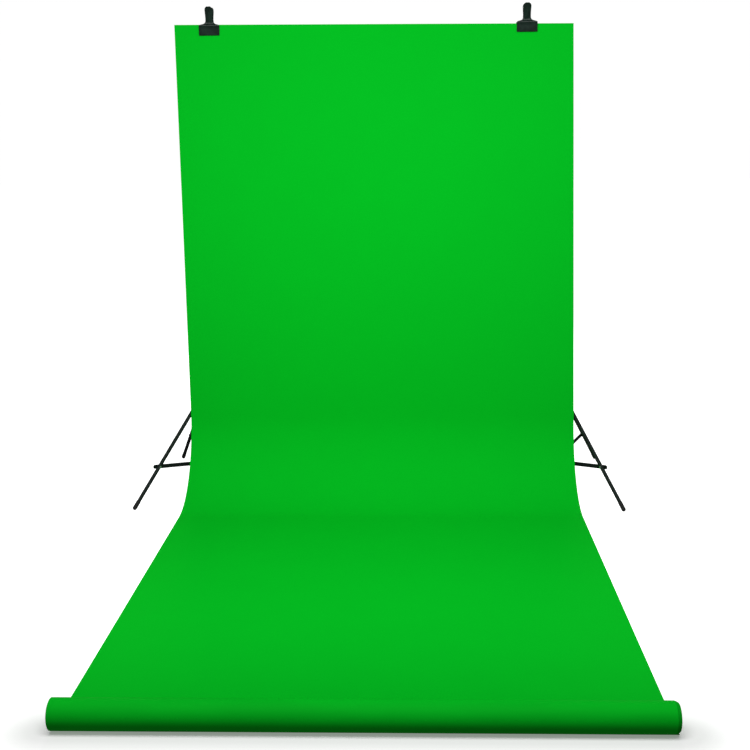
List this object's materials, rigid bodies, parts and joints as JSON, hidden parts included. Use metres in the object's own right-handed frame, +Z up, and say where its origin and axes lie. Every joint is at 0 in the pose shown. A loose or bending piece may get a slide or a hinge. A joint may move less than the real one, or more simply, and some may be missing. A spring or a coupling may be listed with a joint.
{
  "type": "backdrop paper roll",
  "caption": "Seamless backdrop paper clipped to a portable crossbar between two folding stands, swept down to the floor and on to its roll.",
  "frame": {"origin": "On the floor at mid-width, under the paper, half-way along its run between the foot of the sweep and the axis of the roll", "axes": "+X along the paper width to the viewer's right, +Y away from the viewer towards the stands, +Z up"},
  "size_m": [1.6745, 2.2293, 1.68],
  "materials": {
    "green_paper": "matte chroma-green seamless paper with a faint fibre",
    "core_board": "spiral-wound brown board",
    "black_tube": "black powder-coated tube",
    "black_clip": "black lacquered spring steel",
    "black_plastic": "moulded black nylon, fine texture",
    "black_rubber": "black rubber",
    "bright_steel": "zinc-plated steel"
  },
  "bodies": {
    "root": {"paper_sweep": "green_paper", "paper_drop": "green_paper", "hub_rivets": "bright_steel", "left_lower_tube": "black_tube", "left_lower_lock": "black_plastic", "left_lower_hub": "black_plastic", "right_lower_tube": "black_tube", "right_lower_lock": "black_plastic", "right_lower_hub": "black_plastic"},
    "roll": {"wound_paper": "green_paper", "core_tube": "core_board"},
    "crossbar": {"crossbar_left_section": "black_tube", "crossbar_right_section": "black_tube", "crossbar_joiner": "black_tube", "left_top_tube": "black_tube", "left_stud": "bright_steel", "left_clip_rear_arm": "black_clip", "left_clip_pin": "bright_steel", "left_clip_spring": "bright_steel", "right_top_tube": "black_tube", "right_stud": "bright_steel", "right_clip_rear_arm": "black_clip", "right_clip_pin": "bright_steel", "right_clip_spring": "bright_steel"},
    "left_middle_section": {"left_middle_tube": "black_tube", "left_upper_lock": "black_plastic"},
    "left_lower_lock_knob": {"left_lower_lock_knob": "black_plastic"},
    "left_upper_lock_knob": {"left_upper_lock_knob": "black_plastic"},
    "left_leg_collar_knob": {"left_leg_collar_knob": "black_plastic"},
    "left_wing_nut": {"left_wing_nut": "bright_steel"},
    "left_clip_front_arm": {"left_clip_front_arm": "black_clip"},
    "left_leg_collar": {"left_leg_collar": "black_plastic", "left_leg_pins": "bright_steel"},
    "left_leg_1": {"left_leg_1": "black_tube", "left_foot_1": "black_rubber"},
    "left_brace_1": {"left_brace_1": "black_tube"},
    "left_leg_2": {"left_leg_2": "black_tube", "left_foot_2": "black_rubber"},
    "left_brace_2": {"left_brace_2": "black_tube"},
    "left_leg_3": {"left_leg_3": "black_tube", "left_foot_3": "black_rubber"},
    "left_brace_3": {"left_brace_3": "black_tube"},
    "right_middle_section": {"right_middle_tube": "black_tube", "right_upper_lock": "black_plastic"},
    "right_lower_lock_knob": {"right_lower_lock_knob": "black_plastic"},
    "right_upper_lock_knob": {"right_upper_lock_knob": "black_plastic"},
    "right_leg_collar_knob": {"right_leg_collar_knob": "black_plastic"},
    "right_wing_nut": {"right_wing_nut": "bright_steel"},
    "right_clip_front_arm": {"right_clip_front_arm": "black_clip"},
    "right_leg_collar": {"right_leg_collar": "black_plastic", "right_leg_pins": "bright_steel"},
    "right_leg_1": {"right_leg_1": "black_tube", "right_foot_1": "black_rubber"},
    "right_brace_1": {"right_brace_1": "black_tube"},
    "right_leg_2": {"right_leg_2": "black_tube", "right_foot_2": "black_rubber"},
    "right_brace_2": {"right_brace_2": "black_tube"},
    "right_leg_3": {"right_leg_3": "black_tube", "right_foot_3": "black_rubber"},
    "right_brace_3": {"right_brace_3": "black_tube"}
  },
  "joints": [
    {"name": "roll_spin", "type": "hinge", "parent": "root", "child": "roll", "pos_m": [0, -0.725, 0.036], "axis": [1, 0, 0], "continuous": true},
    {"name": "crossbar_lift", "type": "slide", "parent": "root", "child": "crossbar", "axis": [0, 0, 1], "range_m": [-0.5, 0.3], "deforming": ["paper_drop"]},
    {"name": "left_middle_lift", "type": "slide", "parent": "root", "child": "left_middle_section", "axis": [0, 0, 1], "range_m": [-0.25, 0.15]},
    {"name": "left_lower_lock_knob_turn", "type": "hinge", "parent": "root", "child": "left_lower_lock_knob", "pos_m": [-0.629, 1.12067, 0.726], "axis": [0.5577, 0.83, 0], "range_deg": [-540, 0]},
    {"name": "left_upper_lock_knob_turn", "type": "hinge", "parent": "left_middle_section", "child": "left_upper_lock_knob", "pos_m": [-0.629, 1.12067, 1.171], "axis": [0.5577, 0.83, 0], "range_deg": [-540, 0]},
    {"name": "left_leg_collar_knob_turn", "type": "hinge", "parent": "left_leg_collar", "child": "left_leg_collar_knob", "pos_m": [-0.629, 1.12067, 0.34], "axis": [0.5577, 0.83, 0], "range_deg": [-540, 0]},
    {"name": "left_wing_nut_turn", "type": "hinge", "parent": "crossbar", "child": "left_wing_nut", "pos_m": [-0.629, 1.12067, 1.587], "axis": [0, 0, 1], "range_deg": [0, 720]},
    {"name": "left_clip_open", "type": "hinge", "parent": "crossbar", "child": "left_clip_front_arm", "pos_m": [-0.576, 1.12067, 1.624], "axis": [-1, 0, 0], "range_deg": [0, 16], "stiffness_Nm_per_rad": 1.2, "springref_deg": -20.05},
    {"name": "left_legs_fold", "type": "slide", "parent": "root", "child": "left_leg_collar", "axis": [0, 0, 1], "range_m": [0, 0.278]},
    {"name": "left_leg_1_swing", "type": "hinge", "parent": "left_leg_collar", "child": "left_leg_1", "pos_m": [-0.64573, 1.09577, 0.34], "axis": [0.83, -0.5577, 0], "range_deg": [0, 35.75]},
    {"name": "left_brace_1_swing", "type": "hinge", "parent": "root", "child": "left_brace_1", "pos_m": [-0.64462, 1.09743, 0.085], "axis": [-0.83, 0.5577, 0], "range_deg": [0, 65.39]},
    {"name": "left_leg_2_swing", "type": "hinge", "parent": "left_leg_collar", "child": "left_leg_2", "pos_m": [-0.59907, 1.11863, 0.34], "axis": [0.068, 0.9977, 0], "range_deg": [0, 35.75]},
    {"name": "left_brace_2_swing", "type": "hinge", "parent": "root", "child": "left_brace_2", "pos_m": [-0.60106, 1.11877, 0.085], "axis": [-0.068, -0.9977, 0], "range_deg": [0, 65.39]},
    {"name": "left_leg_3_swing", "type": "hinge", "parent": "left_leg_collar", "child": "left_leg_3", "pos_m": [-0.6422, 1.14761, 0.34], "axis": [-0.898, -0.4399, 0], "range_deg": [0, 35.75]},
    {"name": "left_brace_3_swing", "type": "hinge", "parent": "root", "child": "left_brace_3", "pos_m": [-0.64132, 1.14582, 0.085], "axis": [0.898, 0.4399, 0], "range_deg": [0, 65.39]},
    {"name": "right_middle_lift", "type": "slide", "parent": "root", "child": "right_middle_section", "axis": [0, 0, 1], "range_m": [-0.25, 0.15]},
    {"name": "right_lower_lock_knob_turn", "type": "hinge", "parent": "root", "child": "right_lower_lock_knob", "pos_m": [0.629, 1.12067, 0.726], "axis": [-0.5, 0.866, 0], "range_deg": [-540, 0]},
    {"name": "right_upper_lock_knob_turn", "type": "hinge", "parent": "right_middle_section", "child": "right_upper_lock_knob", "pos_m": [0.629, 1.12067, 1.171], "axis": [-0.5, 0.866, 0], "range_deg": [-540, 0]},
    {"name": "right_leg_collar_knob_turn", "type": "hinge", "parent": "right_leg_collar", "child": "right_leg_collar_knob", "pos_m": [0.629, 1.12067, 0.34], "axis": [-0.5, 0.866, 0], "range_deg": [-540, 0]},
    {"name": "right_wing_nut_turn", "type": "hinge", "parent": "crossbar", "child": "right_wing_nut", "pos_m": [0.629, 1.12067, 1.587], "axis": [0, 0, 1], "range_deg": [0, 720]},
    {"name": "right_clip_open", "type": "hinge", "parent": "crossbar", "child": "right_clip_front_arm", "pos_m": [0.499, 1.12067, 1.624], "axis": [-1, 0, 0], "range_deg": [0, 16], "stiffness_Nm_per_rad": 1.2, "springref_deg": -20.05},
    {"name": "right_legs_fold", "type": "slide", "parent": "root", "child": "right_leg_collar", "axis": [0, 0, 1], "range_m": [0, 0.278]},
    {"name": "right_leg_1_swing", "type": "hinge", "parent": "right_leg_collar", "child": "right_leg_1", "pos_m": [0.644, 1.09469, 0.34], "axis": [0.866, 0.5, 0], "range_deg": [0, 35.75]},
    {"name": "right_brace_1_swing", "type": "hinge", "parent": "root", "child": "right_brace_1", "pos_m": [0.643, 1.09642, 0.085], "axis": [-0.866, -0.5, 0], "range_deg": [0, 65.39]},
    {"name": "right_leg_2_swing", "type": "hinge", "parent": "right_leg_collar", "child": "right_leg_2", "pos_m": [0.644, 1.14665, 0.34], "axis": [-0.866, 0.5, 0], "range_deg": [0, 35.75]},
    {"name": "right_brace_2_swing", "type": "hinge", "parent": "root", "child": "right_brace_2", "pos_m": [0.643, 1.14492, 0.085], "axis": [0.866, -0.5, 0], "range_deg": [0, 65.39]},
    {"name": "right_leg_3_swing", "type": "hinge", "parent": "right_leg_collar", "child": "right_leg_3", "pos_m": [0.599, 1.12067, 0.34], "axis": [0, -1, 0], "range_deg": [0, 35.75]},
    {"name": "right_brace_3_swing", "type": "hinge", "parent": "root", "child": "right_brace_3", "pos_m": [0.601, 1.12067, 0.085], "axis": [0, 1, 0], "range_deg": [0, 65.39]}
  ],
  "couplings": [
    {"joint": "left_middle_lift", "follows": "crossbar_lift", "ratio": 0.5},
    {"joint": "left_leg_1_swing", "follows": "left_legs_fold", "rad_per_m": 2.2415},
    {"joint": "left_brace_1_swing", "follows": "left_legs_fold", "rad_per_m": 4.1021},
    {"joint": "left_leg_2_swing", "follows": "left_legs_fold", "rad_per_m": 2.2415},
    {"joint": "left_brace_2_swing", "follows": "left_legs_fold", "rad_per_m": 4.1021},
    {"joint": "left_leg_3_swing", "follows": "left_legs_fold", "rad_per_m": 2.2415},
    {"joint": "left_brace_3_swing", "follows": "left_legs_fold", "rad_per_m": 4.1021},
    {"joint": "right_middle_lift", "follows": "crossbar_lift", "ratio": 0.5},
    {"joint": "right_leg_1_swing", "follows": "right_legs_fold", "rad_per_m": 2.2415},
    {"joint": "right_brace_1_swing", "follows": "right_legs_fold", "rad_per_m": 4.1021},
    {"joint": "right_leg_2_swing", "follows": "right_legs_fold", "rad_per_m": 2.2415},
    {"joint": "right_brace_2_swing", "follows": "right_legs_fold", "rad_per_m": 4.1021},
    {"joint": "right_leg_3_swing", "follows": "right_legs_fold", "rad_per_m": 2.2415},
    {"joint": "right_brace_3_swing", "follows": "right_legs_fold", "rad_per_m": 4.1021}
  ]
}
